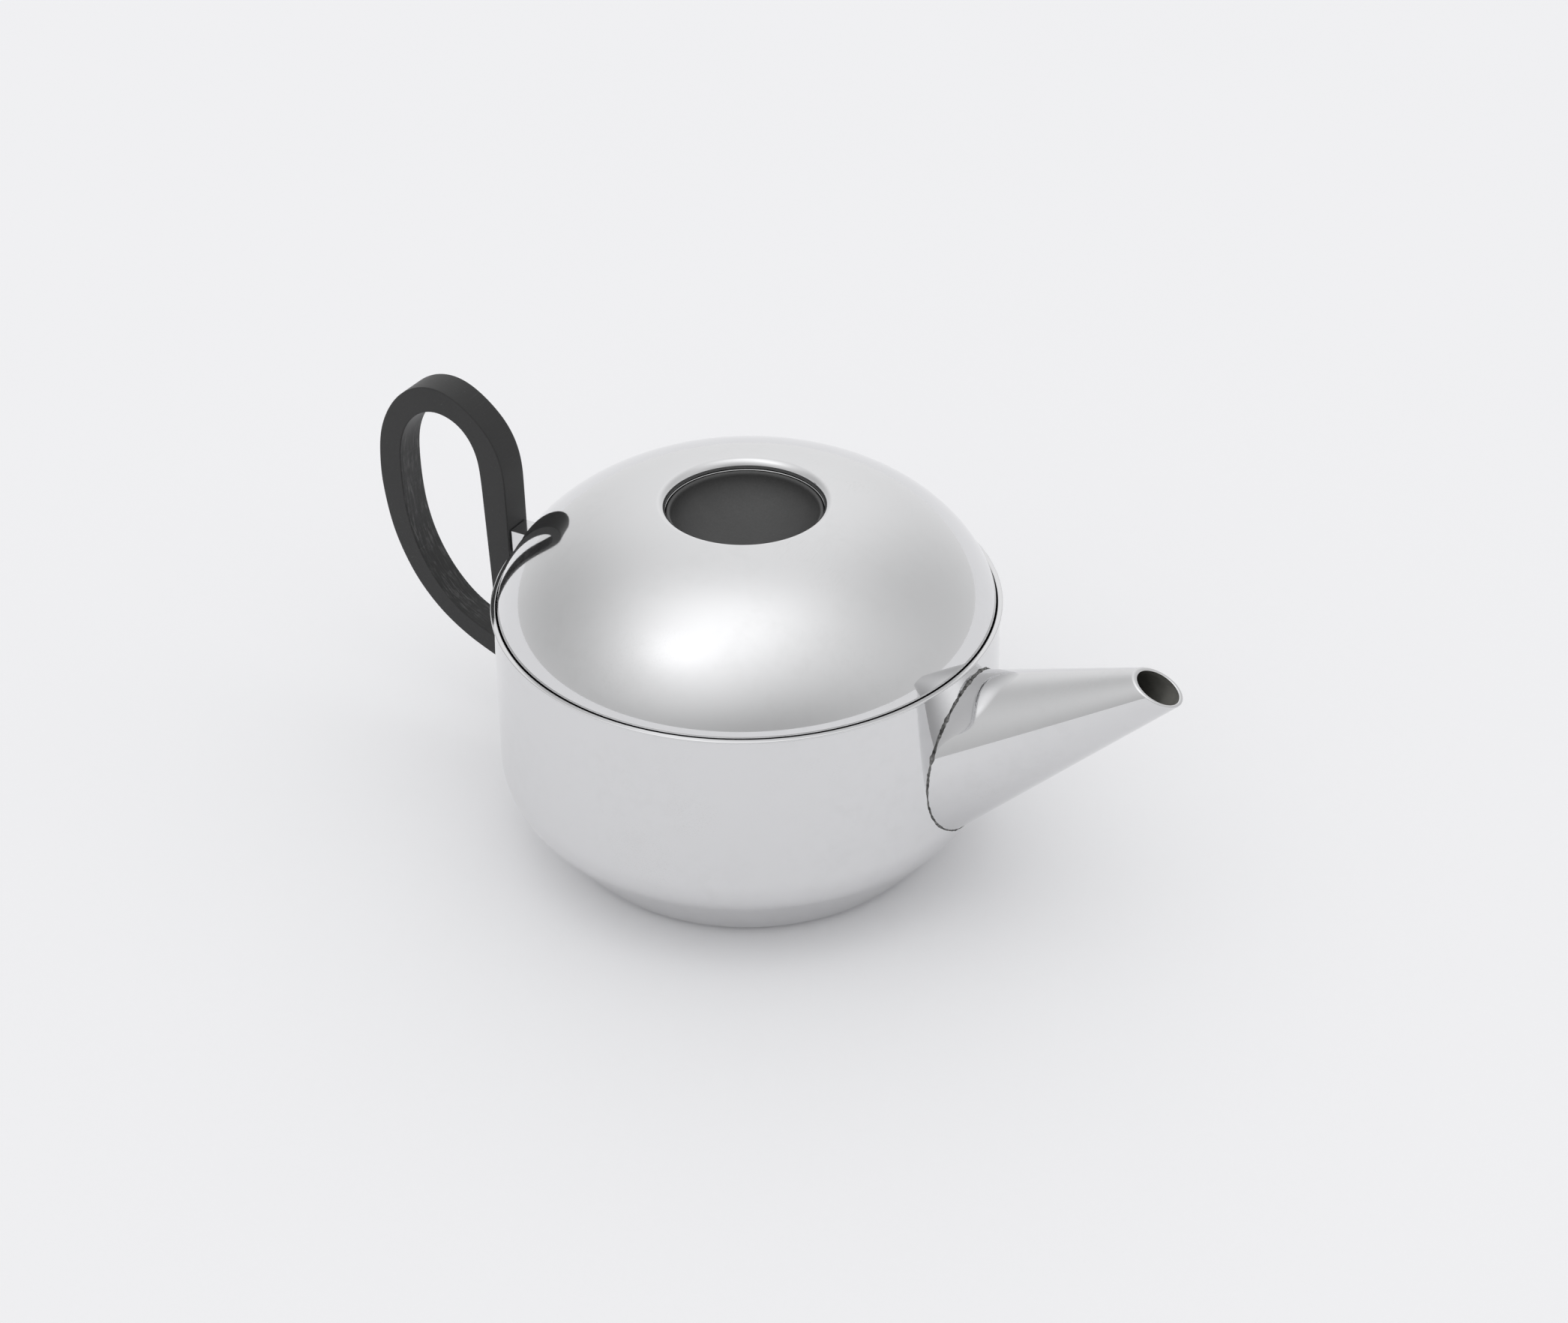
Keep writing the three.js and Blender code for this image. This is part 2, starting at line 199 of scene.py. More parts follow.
def polished(name, patches=(), rough=(0.035, 0.075), wave=5e-6, seed=0.0, f0=STEEL_F0):
    m, n = material(name)
    co = n.mapping(n.coords(), loc=(seed, seed * 0.7, 0))
    raw = n.coords()
    broad = n.noise(co, 26, detail=3)
    mid = n.noise(co, 190, detail=4, rough=0.6)
    fine = n.noise(co, 2400, detail=2)
    mask = n.ramp(n.noise(co, 42, detail=2), 0.52, 0.68, 0.0, 0.5)
    for centre, radius in patches:
        mask = n.math("MAXIMUM", mask, spot(n, raw, centre, radius))
    lines = hairlines(n, co, mask)
    # thin haze left by polishing: the reflectance dips a little where it lies
    haze = n.math("MULTIPLY", n.ramp(mid, 0.45, 0.75), n.ramp(broad, 0.4, 0.65))
    tone = n.math("MULTIPLY_ADD", haze, 0.35, n.math("MULTIPLY", lines, 0.6), clamp=True)
    color = n.mix(tone, gray(f0, 1.008), gray(f0 * 0.9, 1.0))
    r = n.ramp(mid, 0.35, 0.7, rough[0], rough[1])
    r = n.math("MULTIPLY_ADD", lines, 0.10, r)
    b = n.bump(n.noise(co, 55, detail=1), wave)
    b = n.bump(fine, 6e-7, normal=b)
    b = n.bump(lines, 1.6e-6, normal=b)
    n.bsdf(color, r, 1.0, b)
    return m


def turned_steel(name, base=0.58, seed=0.0):
    """Plain steel with the fine lines that run round a turned piece."""
    m, n = material(name)
    co = n.coords()
    v, r, z = radial(n, n.mapping(co, loc=(0, 0, seed)))
    rings = n.noise(v, 2200, detail=2)
    broad = n.noise(co, 60, detail=3)
    spots = n.ramp(n.noise(co, 900, detail=3), 0.6, 0.75)
    color = n.mix(n.math("MULTIPLY_ADD", spots, 0.25, n.ramp(broad, 0.4, 0.7, 0, 0.4), clamp=True), gray(base, 1.005), gray(base * 0.8))
    rough = n.ramp(rings, 0.3, 0.7, 0.2, 0.34)
    n.bsdf(color, rough, 1.0, n.bump(rings, 4e-6))
    return m


def resin(name, base=0.036, rubbed=False, swirl=False, ior=1.5):
    m, n = material(name)
    co = n.coords()
    broad = n.noise(co, 45, detail=4, rough=0.6)
    fine = n.noise(co, 1500, detail=3, rough=0.6)
    speck = n.ramp(n.noise(co, 1900, detail=2), 0.68, 0.78)
    f = n.math("MULTIPLY_ADD", n.ramp(fine, 0.35, 0.7), 0.35, n.ramp(broad, 0.35, 0.65, 0, 0.5), clamp=True)
    color = n.mix(f, gray(base * 0.8), gray(base * 1.25, 0.99))
    color = n.mix(n.math("MULTIPLY", speck, 0.4), color, gray(0.11))
    rough = n.ramp(broad, 0.3, 0.7, 0.40, 0.52)
    height = fine
    b = n.bump(height, 9e-6, strength=0.8)
    mask = n.ramp(n.noise(co, 30, detail=2), 0.5, 0.65, 0.05, 0.35)
    lines = hairlines(n, co, mask, across=1800, along=50, lo=0.66, hi=0.74)
    if rubbed:
        # the bow's finger side has been rubbed paler, in streaks along the bar
        s = n.new("ShaderNodeSeparateXYZ")
        n.put(s.inputs[0], co)
        g = n.new("ShaderNodeNewGeometry")
        inward = n.vec("DOT_PRODUCT", g.outputs["True Normal"], (0.93, 0.0, 0.36))
        face = n.ramp(inward, 0.55, 0.8)
        low = n.math("MULTIPLY", n.ramp(s.outputs[2], 0.122, 0.100), n.ramp(s.outputs[0], -0.096, -0.106))
        across = n.mapping(co, scale=(260, 1500, 170))
        streak = n.ramp(n.noise(across, 1.0, detail=4, rough=0.65), 0.47, 0.66)
        blot = n.ramp(n.noise(co, 210, detail=3), 0.45, 0.6, 0.25, 1.0)
        rub = n.math("MULTIPLY", n.math("MULTIPLY", face, low), n.math("MULTIPLY", streak, blot))
        color = n.mix(n.math("MULTIPLY", rub, 0.8), color, gray(0.13))
        rough = n.math("MULTIPLY_ADD", rub, 0.1, rough)
    if swirl:
        v, r, z = radial(n, co)
        rings = n.noise(v, 1300, detail=2)
        b = n.bump(rings, 6e-6, strength=0.6, normal=b)
        smear = n.ramp(n.noise(n.mapping(co, scale=(60, 170, 60), rot=(0, 0, 0.5)), 1.0, detail=4), 0.5, 0.72, 0, 0.5)
        color = n.mix(smear, color, gray(0.06))
    color = n.mix(n.math("MULTIPLY", lines, 0.5), color, gray(0.12))
    b = n.bump(lines, 4e-6, normal=b)
    n.bsdf(color, rough, 0.0, b, **{"IOR": ior})
    return m


def spout_shade_mat(name):
    """Inside of the spout: steel painted a dull, dark brownish grey, painted shade for the shade inside the tube."""
    m, n = material(name)
    co = n.coords()
    a = n.ramp(n.noise(co, 90, detail=4), 0.35, 0.65)
    color = n.mix(a, (0.17, 0.168, 0.155, 1), (0.36, 0.355, 0.33, 1))
    n.bsdf(color, n.ramp(a, 0, 1, 0.5, 0.38), 0.35, n.bump(n.noise(co, 700, detail=3), 1e-5))
    return m


def solder(name):
    m, n = material(name)
    co = n.coords()
    a = n.ramp(n.noise(co, 650, detail=4, rough=0.65), 0.35, 0.68)
    pit = n.ramp(n.noise(co, 1700, detail=2), 0.55, 0.7)
    color = n.mix(a, (0.05, 0.05, 0.048, 1), (0.27, 0.268, 0.262, 1))
    color = n.mix(n.math("MULTIPLY", pit, 0.7), color, gray(0.03))
    n.bsdf(color, n.ramp(a, 0, 1, 0.6, 0.33), 0.8, n.bump(n.noise(co, 900, detail=4), 6e-5))
    return m


def brass_mat(name):
    m, n = material(name)
    co = n.coords()
    a = n.noise(co, 300, detail=4)
    color = n.mix(n.ramp(a, 0.35, 0.7), (0.69, 0.52, 0.25, 1), (0.5, 0.35, 0.15, 1))
    n.bsdf(color, n.ramp(a, 0.3, 0.7, 0.22, 0.4), 1.0, n.bump(n.noise(n.mapping(co, scale=(3000, 200, 200)), 1.0), 4e-6))
    return m


def rubber_mat(name):
    m, n = material(name)
    co = n.coords()
    a = n.noise(co, 800, detail=3)
    color = n.mix(n.ramp(a, 0.35, 0.7), gray(0.016), gray(0.03))
    n.bsdf(color, n.ramp(a, 0.3, 0.7, 0.6, 0.8), 0.0, n.bump(a, 1.5e-5))
    return m


M_BODY = polished("steel_pot", patches=(((9, -79, 40), 17), ((25, -76, 58), 12)), seed=0.0)
M_LID = polished("steel_lid", rough=(0.045, 0.085), seed=1.3)
# the spout is the pot's steel made a little darker (f0 0.71 against 0.735): painted shade, dimming its reflection
M_SPOUT = polished("steel_spout", patches=(((95, -20, 52), 9),), seed=2.1, f0=0.71)
M_BLOCK = polished("steel_block", rough=(0.08, 0.14), seed=3.7)
M_RING = turned_steel("steel_turned")
M_HEAD = turned_steel("steel_fastener", base=0.52, seed=0.4)
M_RESIN = resin("resin_handle", base=0.024, rubbed=True, ior=1.43)
# the cup is the handle's black resin made paler (base 0.066 against 0.024): painted light, for the brighter light
# caught in the recess
M_CUP = resin("resin_cup_painted_light", base=0.066, swirl=True)
# inside of the spout: painted shade, a dark dull colour standing in for the shade in the tube
M_SPOUT_SHADE = spout_shade_mat("spout_inside_painted_shade")
M_SOLDER = solder("solder")
M_BRASS = brass_mat("brass_turned")
M_RUBBER = rubber_mat("rubber_seal")


# ------------------------------------------------------------------ mesh helpers
def soft_normals(me, angle=35.0):
    """Corner normals weighted by face size, split where faces meet at more than angle."""
    nf, nl = len(me.polygons), len(me.loops)
    fn = np.zeros(nf * 3, np.float64)
    me.polygons.foreach_get("normal", fn)
    fn = fn.reshape(-1, 3)
    fa = np.zeros(nf, np.float64)
    me.polygons.foreach_get("area", fa)
    lt = np.zeros(nf, np.int32)
    me.polygons.foreach_get("loop_total", lt)
    lv = np.zeros(nl, np.int32)
    me.loops.foreach_get("vertex_index", lv)
    lf = np.repeat(np.arange(nf), lt)
    order = np.argsort(lv, kind="stable")
    sv = lv[order]
    starts = np.searchsorted(sv, np.arange(len(me.vertices)))
    ends = np.searchsorted(sv, np.arange(len(me.vertices)), side="right")
    count = ends - starts
    cos = math.cos(math.radians(angle))
    out = np.zeros((nl, 3))
    for k in range(int(count.max()) if len(count) else 0):
        # each loop meets the k-th face round its own vertex
        has = count[lv] > k
        idx = np.nonzero(has)[0]
        other = lf[order[starts[lv[idx]] + k]]
        own = lf[idx]
        ok = (fn[own] * fn[other]).sum(1) > cos
        w = np.where(ok, np.maximum(fa[other], 1e-14), 0.0)
        out[idx] += fn[other] * w[:, None]
    ln = np.linalg.norm(out, axis=1)
    bad = ln < 1e-20
    out[bad] = fn[lf[bad]]
    ln[bad] = 1
    out /= ln[:, None]
    me.normals_split_custom_set([tuple(v) for v in out])


def build(name, verts, faces, mats, index=None):
    """Mesh from millimetres, faces turned out, in the row frame."""
    me = bpy.data.meshes.new(name)
    me.from_pydata([(x * MM, y * MM, z * MM) for x, y, z in verts], [], faces)
    for m in mats:
        me.materials.append(m)
    if index is not None:
        me.polygons.foreach_set("material_index", index)
    me.validate()
    bm = bmesh.new()
    bm.from_mesh(me)
    bmesh.ops.remove_doubles(bm, verts=bm.verts, dist=1e-7)
    bmesh.ops.recalc_face_normals(bm, faces=bm.faces)
    bm.to_mesh(me)
    bm.free()
    ob = bpy.data.objects.new(name, me)
    bpy.context.scene.collection.objects.link(ob)
    return ob


def finish_piece(ob, body, nodes=(), angle=35.0):
    me = ob.data
    me.polygons.foreach_set("use_smooth", [True] * len(me.polygons))
    soft_normals(me, angle)
    me.update()
    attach(ob, body)
    if nodes:
        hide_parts(*nodes)
    return ob


def lathe(profile, seg=SEG, closed=True):
    """Verts and faces of a piece turned about +Z. Points on the axis share one vertex."""
    verts, rows = [], []
    for r, z in profile:
        if r < 1e-6:
            rows.append([len(verts)] * seg)
            verts.append((0.0, 0.0, z))
        else:
            rows.append(list(range(len(verts), len(verts) + seg)))
            for i in range(seg):
                t = 2 * math.pi * i / seg
                verts.append((r * math.cos(t), r * math.sin(t), z))
    faces = []
    n = len(rows)
    for k in range(n if closed else n - 1):
        a, b = rows[k], rows[(k + 1) % n]
        if a[0] == a[1] and b[0] == b[1]:
            continue
        for i in range(seg):
            j = (i + 1) % seg
            if a[0] == a[1]:
                faces.append((a[0], b[i], b[j]))
            elif b[0] == b[1]:
                faces.append((a[i], b[0], a[j]))
            else:
                faces.append((a[i], b[i], b[j], a[j]))
    return verts, faces


def along_x(verts, y, z):
    """Turn a lathe about +Z into one about +X: (r cos, r sin, h) becomes (h, r sin, -r cos)."""
    return [(vz, vy + y, -vx + z) for vx, vy, vz in verts]


def rounded(points, radii, steps=5):
    """Closed or open outline with its corners rounded; radii matches points, 0 keeps a corner sharp."""
    out = []
    n = len(points)
    for i, (p, rad) in enumerate(zip(points, radii)):
        if rad <= 0:
            out.append(tuple(p))
            continue
        a, b, c = np.array(points[i - 1], float), np.array(p, float), np.array(points[(i + 1) % n], float)
        u, v = a - b, c - b
        lu, lv = np.linalg.norm(u), np.linalg.norm(v)
        u, v = u / lu, v / lv
        cosw = float(np.clip(u @ v, -1, 1))
        half = math.acos(cosw) / 2
        d = min(rad / math.tan(half), lu * 0.49, lv * 0.49)
        r = d * math.tan(half)
        m = (u + v)
        centre = b + m / np.linalg.norm(m) * (r / math.sin(half))
        s, e = b + u * d, b + v * d
        a0 = math.atan2(*(s - centre)[::-1])
        a1 = math.atan2(*(e - centre)[::-1])
        da = (a1 - a0 + math.pi) % (2 * math.pi) - math.pi
        for k in range(steps + 1):
            t = a0 + da * k / steps
            out.append((float(centre[0] + r * math.cos(t)), float(centre[1] + r * math.sin(t))))
    return out


def dense(points, step, closed=False):
    out = []
    n = len(points)
    for i in range(n if closed else n - 1):
        a, b = np.array(points[i]), np.array(points[(i + 1) % n])
        k = max(1, int(np.linalg.norm(b - a) / step))
        out += [tuple(a + (b - a) * j / k) for j in range(k)]
    if not closed:
        out.append(tuple(points[-1]))
    return out


def cut(ob, cutters, union=False):
    """Boolean cut with other objects, applied; the cutters go."""
    for c in cutters:
        mod = ob.modifiers.new("cut", "BOOLEAN")
        mod.operation = "UNION" if union else "DIFFERENCE"
        mod.solver = "EXACT"
        mod.object = c
    bpy.context.view_layer.update()
    dg = bpy.context.evaluated_depsgraph_get()
    me = bpy.data.meshes.new_from_object(ob.evaluated_get(dg), depsgraph=dg)
    ob.modifiers.clear()
    old = ob.data
    ob.data = me
    me.name = old.name
    bpy.data.meshes.remove(old)
    for c in cutters:
        m = c.data
        bpy.data.objects.remove(c)
        bpy.data.meshes.remove(m)
    return ob


def rod_x(name, r, x0, x1, y, z, seg=32, mat=None, turn=0.0):
    v, f = lathe([(0, x0), (r, x0), (r, x1), (0, x1)], seg, closed=False)
    if turn:
        v = [(a * math.cos(turn) - b * math.sin(turn), a * math.sin(turn) + b * math.cos(turn), c) for a, b, c in v]
    return build(name, along_x(v, y, z), f, [mat] if mat else [])


def rod_z(name, r, z0, z1, seg=32, mat=None):
    v, f = lathe([(0, z0), (r, z0), (r, z1), (0, z1)], seg, closed=False)
    return build(name, v, f, [mat] if mat else [])


# ------------------------------------------------------------------ pot profile
def pot_lower(d, nb=10, nc=6, ns=22):
    """Base edge to the shoulder, moved out by d."""
    phi = CONE_ANG
    sx = SHOULDER_R - SHOULDER_BEND
    r1, z1 = sx + SHOULDER_BEND * math.cos(phi), SHOULDER_Z - SHOULDER_BEND * math.sin(phi)
    z0 = BASE_BEND - BASE_BEND * math.sin(phi)
    r0 = r1 - (z1 - z0) * math.tan(phi)
    bx = r0 - BASE_BEND * math.cos(phi)
    pts = []
    for i in range(nb + 1):
        t = math.pi / 2 + (phi - math.pi / 2) * i / nb
        pts.append((bx + (BASE_BEND + d) * math.cos(t), BASE_BEND - (BASE_BEND + d) * math.sin(t)))
    a, b = pts[-1], (sx + (SHOULDER_BEND + d) * math.cos(phi), SHOULDER_Z - (SHOULDER_BEND + d) * math.sin(phi))
    pts += [(a[0] + (b[0] - a[0]) * i / nc, a[1] + (b[1] - a[1]) * i / nc) for i in range(1, nc)]
    for i in range(ns + 1):
        t = phi * (1 - i / ns)
        pts.append((sx + (SHOULDER_BEND + d) * math.cos(t), SHOULDER_Z - (SHOULDER_BEND + d) * math.sin(t)))
    return pts


LOWER = pot_lower(0.0, 24, 20, 60)
LOWER_Z = np.array([p[1] for p in LOWER])
LOWER_R = np.array([p[0] for p in LOWER])


def pot_r(z):
    if z >= SHOULDER_Z:
        return SHOULDER_R + (WALL_R - SHOULDER_R) * (z - SHOULDER_Z) / (83.8 - SHOULDER_Z)
    return float(np.interp(z, LOWER_Z, LOWER_R))


# body shell: flat base, bend, cone, shoulder, wall, thin turned-out rim
wall = [(pot_r(z), z) for z in np.linspace(SHOULDER_Z, 84.3, 20)[1:]]
rim = [
    (79.22, 84.75), (79.24, 84.98), (79.29, 85.12), (79.38, 85.22), (79.52, 85.27), (79.68, 85.30),
    (79.82, 85.35), (79.92, 85.44), (79.98, 85.56), (80.0, 85.70), (79.97, 85.83), (79.90, 85.92), (79.79, 85.98), (79.65, 86.0),
    (79.2, 86.0), (78.75, 86.0), (78.60, 85.98), (78.48, 85.92), (78.40, 85.82), (78.36, 85.68),
    (78.35, 85.4), (78.32, 84.9), (78.26, 84.4), (78.21, 84.0),
]
inner_wall = [(pot_r(z) - SHELL_T, z) for z in np.linspace(83.6, SHOULDER_Z, 14)[:-1]]
inner_low = pot_lower(-SHELL_T, 8, 4, 14)[::-1]
base_out = [(0, 0), (14, 0), (28, 0), (42, 0), (52, 0)]
base_in = [(52, SHELL_T), (42, SHELL_T), (28, SHELL_T), (14, SHELL_T), (0, SHELL_T)]
profile = base_out + pot_lower(0.0) + wall + rim + inner_wall + inner_low + base_in
v, f = lathe(profile, SEG, closed=False)
body = build("pot_shell", v, f, [M_BODY])
holes = []
for dz, ys in [(-16, (-5, 5)), (-8, (-10, 0, 10)), (0, (-14.5, -5, 5, 14.5)), (8, (-10, 0, 10)), (15.5, (-5, 5))]:
    for y in ys:
        holes.append(rod_x("hole", 2.6, 74, 84, y, SPOUT_Z - 2 + dz, 24))
holes.append(rod_x("hole", 2.3, -84, -74, 0, FOOT_Z, 24))
# the drill holes don't touch each other, so one cutter holds them all
bm = bmesh.new()
for h in holes:
    bm.from_mesh(h.data)
one = bpy.data.meshes.new("holes")
bm.to_mesh(one)
bm.free()
for h in holes:
    m = h.data
    bpy.data.objects.remove(h)
    bpy.data.meshes.remove(m)
drill = bpy.data.objects.new("holes", one)
bpy.context.scene.collection.objects.link(drill)
cut(body, [drill])
finish_piece(body, "pot", ["body_shell"], 40)

# ledge that the lid rests on
pts = [(74.0, 80.9), (74.0, SEAT_Z), (77.9, SEAT_Z), (77.9, 77.7), (76.9, 77.7), (76.9, 80.9)]
v, f = lathe(rounded(pts, [0.3, 0.3, 0.15, 0.2, 0.2, 0.6], 4), SEG)
finish_piece(build("lid_ledge", v, f, [M_RING]), "pot", ["lid_seat_ring"])

# ------------------------------------------------------------------ spout
A = np.array([math.cos(SPOUT_ANG), 0, math.sin(SPOUT_ANG)])
U = np.array([-math.sin(SPOUT_ANG), 0, math.cos(SPOUT_ANG)])
W = np.array([0.0, 1.0, 0.0])
ORG = np.array([WALL_R, 0, SPOUT_Z])
TAPER = (SPOUT_R1 - SPOUT_R0) / SPOUT_L
MOUTH = ORG + A * SPOUT_L
CUT_N = np.array([math.cos(SPOUT_CUT), 0, math.sin(SPOUT_CUT)])


def cone_point(s, th, t=0.0):
    r = SPOUT_R0 + TAPER * s - t
    return ORG + A * s + (U * math.cos(th) + W * math.sin(th)) * r


def root(th, t, gap):
    """Distance along the axis where the line of the cone at th meets the pot."""
    lo, hi = -48.0, 40.0
    for _ in range(50):
        m = (lo + hi) / 2
        p = cone_point(m, th, t)
        if math.hypot(p[0], p[1]) < pot_r(p[2]) + gap:
            lo = m
        else:
            hi = m
    return (lo + hi) / 2


def mouth(th, t, back=0.0):
    a, b = cone_point(0, th, t), cone_point(1, th, t)
    d = b - a
    return float(((MOUTH - CUT_N * back - a) @ CUT_N) / (d @ CUT_N))


NT, NS = 144, 56
verts, rows, kinds = [], [], []


def add_row(fn):
    rows.append(list(range(len(verts), len(verts) + NT)))
    for i in range(NT):
        verts.append(tuple(fn(2 * math.pi * i / NT)))


LIP = 0.42
for k in range(NS + 1):
    u = k / NS

    def outer(th, u=u):
        s0, s1 = root(th, 0.0, 0.06), mouth(th, 0.0, LIP)
        return cone_point(s0 + (s1 - s0) * u, th)
    add_row(outer)
for k in range(1, 6):
    a = math.pi / 2 * k / 5

    def lip_out(th, a=a):
        t = LIP * (1 - math.cos(a))
        return cone_point(mouth(th, t, LIP * (1 - math.sin(a))), th, t)
    add_row(lip_out)
for k in range(0, 6):
    a = math.pi / 2 * k / 5

    def lip_in(th, a=a):
        t = SPOUT_T - LIP * (1 - math.sin(a))
        return cone_point(mouth(th, t, LIP * (1 - math.cos(a))), th, t)
    add_row(lip_in)
n_lip = len(rows)
for k in range(1, 25):
    u = k / 24

    def inner(th, u=u):
        s0, s1 = root(th, SPOUT_T, 0.06), mouth(th, SPOUT_T, LIP)
        return cone_point(s1 + (s0 - s1) * u, th, SPOUT_T)
    add_row(inner)
faces, index = [], []
for k in range(len(rows)):
    a, b = rows[k], rows[(k + 1) % len(rows)]
    for i in range(NT):
        j = (i + 1) % NT
        faces.append((a[i], b[i], b[j], a[j]))
        index.append(1 if k >= n_lip - 1 else 0)
# the inner rows of the spout take the dark painted-shade material
spout = build("spout", verts, faces, [M_SPOUT, M_SPOUT_SHADE], index)
finish_piece(spout, "pot", ["spout_cone"], 40)


def ripple(t, seed, terms):
    rng = np.random.default_rng(seed)
    return sum(a * math.sin(k * t + p) for (k, a), p in zip(terms, rng.uniform(0, 2 * math.pi, len(terms))))


def bead(name, path, radius, normals, seed, sides=12, flat=0.75):
    """Uneven bead of metal along a closed path. normals give the direction that the bead stands up in."""
    n = len(path)
    verts, faces = [], []
    P = np.array(path)
    rng = np.random.default_rng(seed)
    ph = rng.uniform(0, 2 * math.pi, (sides, 4))
    for i in range(n):
        tan = P[(i + 1) % n] - P[i - 1]
        tan /= np.linalg.norm(tan)
        nn = normals[i] - tan * (normals[i] @ tan)
        nn /= np.linalg.norm(nn)
        bb = np.cross(tan, nn)
        u = 2 * math.pi * i / n
        for j in range(sides):
            a = 2 * math.pi * j / sides
            wob = 1 + 0.12 * math.sin(31 * u + ph[j, 0]) + 0.1 * math.sin(57 * u + ph[j, 1]) + 0.07 * math.sin(94 * u + ph[j, 2])
            q = P[i] + radius[i] * wob * (nn * math.cos(a) * flat + bb * math.sin(a))
            verts.append(tuple(q))
    for i in range(n):
        k = (i + 1) % n
        for j in range(sides):
            m = (j + 1) % sides
            faces.append((i * sides + j, i * sides + m, k * sides + m, k * sides + j))
    return build(name, verts, faces, [M_SOLDER])


NP = 720
path, norm, rad = [], [], []
BLOB = math.radians(-74)
for i in range(NP):
    th = 2 * math.pi * i / NP
    p = cone_point(root(th, 0.0, 0.0), th)
    pn = np.array([p[0], p[1], 0.0])
    pn /= np.linalg.norm(pn)
    cn = U * math.cos(th) + W * math.sin(th)
    d = pn + cn
    d /= np.linalg.norm(d)
    path.append(p)
    norm.append(d)
    up = 0.5 + 0.5 * math.cos(th)
    base = 0.30 + 0.34 * up ** 1.2
    noise = ripple(th, 11, [(5, 0.10), (9, 0.12), (17, 0.13), (29, 0.12), (47, 0.10), (83, 0.07)])
    dist = (th - BLOB + math.pi) % (2 * math.pi) - math.pi
    base *= 1 + noise + 0.9 * math.exp(-(dist / 0.045) ** 2)
    rad.append(max(base, 0.16))
seam = bead("spout_seam", path, rad, norm, 5)
finish_piece(seam, "pot", (), 60)

# ------------------------------------------------------------------ handle
OUTER = [
    (-72, -57.6), (-80, -55.6), (-89.5, -53.2), (-98.5, -50.0), (-108.2, -45.6), (-118.3, -38.4), (-127.3, -27.6),
    (-134.0, -12.6), (-136.9, 4.0), (-136.9, 15.2), (-135.6, 24.5), (-132.4, 32.3), (-128.2, 38.4),
    (-123.4, 42.6), (-117.8, 45.3), (-111.5, 46.1), (-105.4, 44.6), (-98.7, 40.5), (-92.4, 34.5),
    (-88.7, 27.8), (-87.1, 20.6), (LEG_X, 12),
]
INNER = [
    (LEG_IN_X, 14), (-96.7, 22.3), (-97.9, 27.2), (-100.5, 31.9), (-104.8, 35.7), (-111.4, 37.5), (-116.6, 36.6),
    (-120.6, 34.2), (-124.0, 30.6), (-126.8, 25.2), (-128.3, 18.5), (-128.6, 6.1), (-127.5, -5.9), (-124.4, -16.9),
    (-118.9, -27.0), (-111.7, -35.0), (-105.0, -39.3), (-98.2, -42.2),
]


def spline(pts, n):
    P = np.array(pts, float)
    out = []
    for i in range(n + 1):
        q = (len(P) - 1) * i / n
        k = min(int(q), len(P) - 2)
        w = q - k
        p0, p1, p2, p3 = P[max(k - 1, 0)], P[k], P[k + 1], P[min(k + 2, len(P) - 1)]
        v0, v1 = (p2 - p0) * 0.5, (p3 - p1) * 0.5
        out.append((2 * p1 - 2 * p2 + v0 + v1) * w ** 3 + (-3 * p1 + 3 * p2 - 2 * v0 - v1) * w ** 2 + v0 * w + p1)
    return np.array(out)


def respace(P, step):
    d = np.r_[0, np.cumsum(np.linalg.norm(np.diff(P, axis=0), axis=1))]
    n = max(2, int(round(d[-1] / step)))
    s = np.linspace(0, d[-1], n + 1)
    return np.c_[np.interp(s, d, P[:, 0]), np.interp(s, d, P[:, 1])]


def smooth_open(P, rounds):
    P = P.copy()
    for _ in range(rounds):
        P[1:-1] = P[1:-1] * 0.5 + (P[:-2] + P[2:]) * 0.25
    return P


outer = smooth_open(respace(spline(OUTER, 600), 1.1), 14)
leg = np.array([(LEG_X, -38), (-86.3, -41.6), (-84.6, -44.2), (-82.0, -45.6), (-72, -46.6)], float)
leg = np.r_[np.array([outer[-1]]), leg]
outer_line = np.r_[outer[:-1], smooth_open(respace(leg, 1.1), 3)]
FOOT_R = 80.3
# the bar stops at the pot's wall
keep = outer_line[:, 0] < -FOOT_R + 0.02
first, last = np.nonzero(keep)[0][[0, -1]]


def cross(a, b):
    w = (-FOOT_R - a[0]) / (b[0] - a[0])
    return a + (b - a) * w


z_lo = cross(outer_line[first - 1], outer_line[first])
z_hi = cross(outer_line[last], outer_line[last + 1])
outer_line = np.r_[[z_lo], outer_line[first:last + 1], [z_hi]]
end = np.array([z_hi + (z_lo - z_hi) * k / 8 for k in range(1, 8)])
outer_loop = np.r_[outer_line, end]

inner = smooth_open(respace(spline(INNER, 500), 1.1), 14)
tail = np.array([inner[-1], (-95.0, -43.0), (-94.4, -42.4), (-94.5, -38), inner[0]], float)
tail = respace(np.array(rounded([tuple(p) for p in tail], [0, 0.9, 0.9, 0, 0], 4), float), 1.1)
inner_loop = np.r_[inner[:-1], tail[:-1]]


def loop_normals(L, sign):
    t = np.roll(L, -1, axis=0) - np.roll(L, 1, axis=0)
    t /= np.linalg.norm(t, axis=1)[:, None]
    return np.c_[t[:, 1], -t[:, 0]] * sign


def area2(L):
    return float((L[:, 0] * np.roll(L[:, 1], -1) - np.roll(L[:, 0], -1) * L[:, 1]).sum())


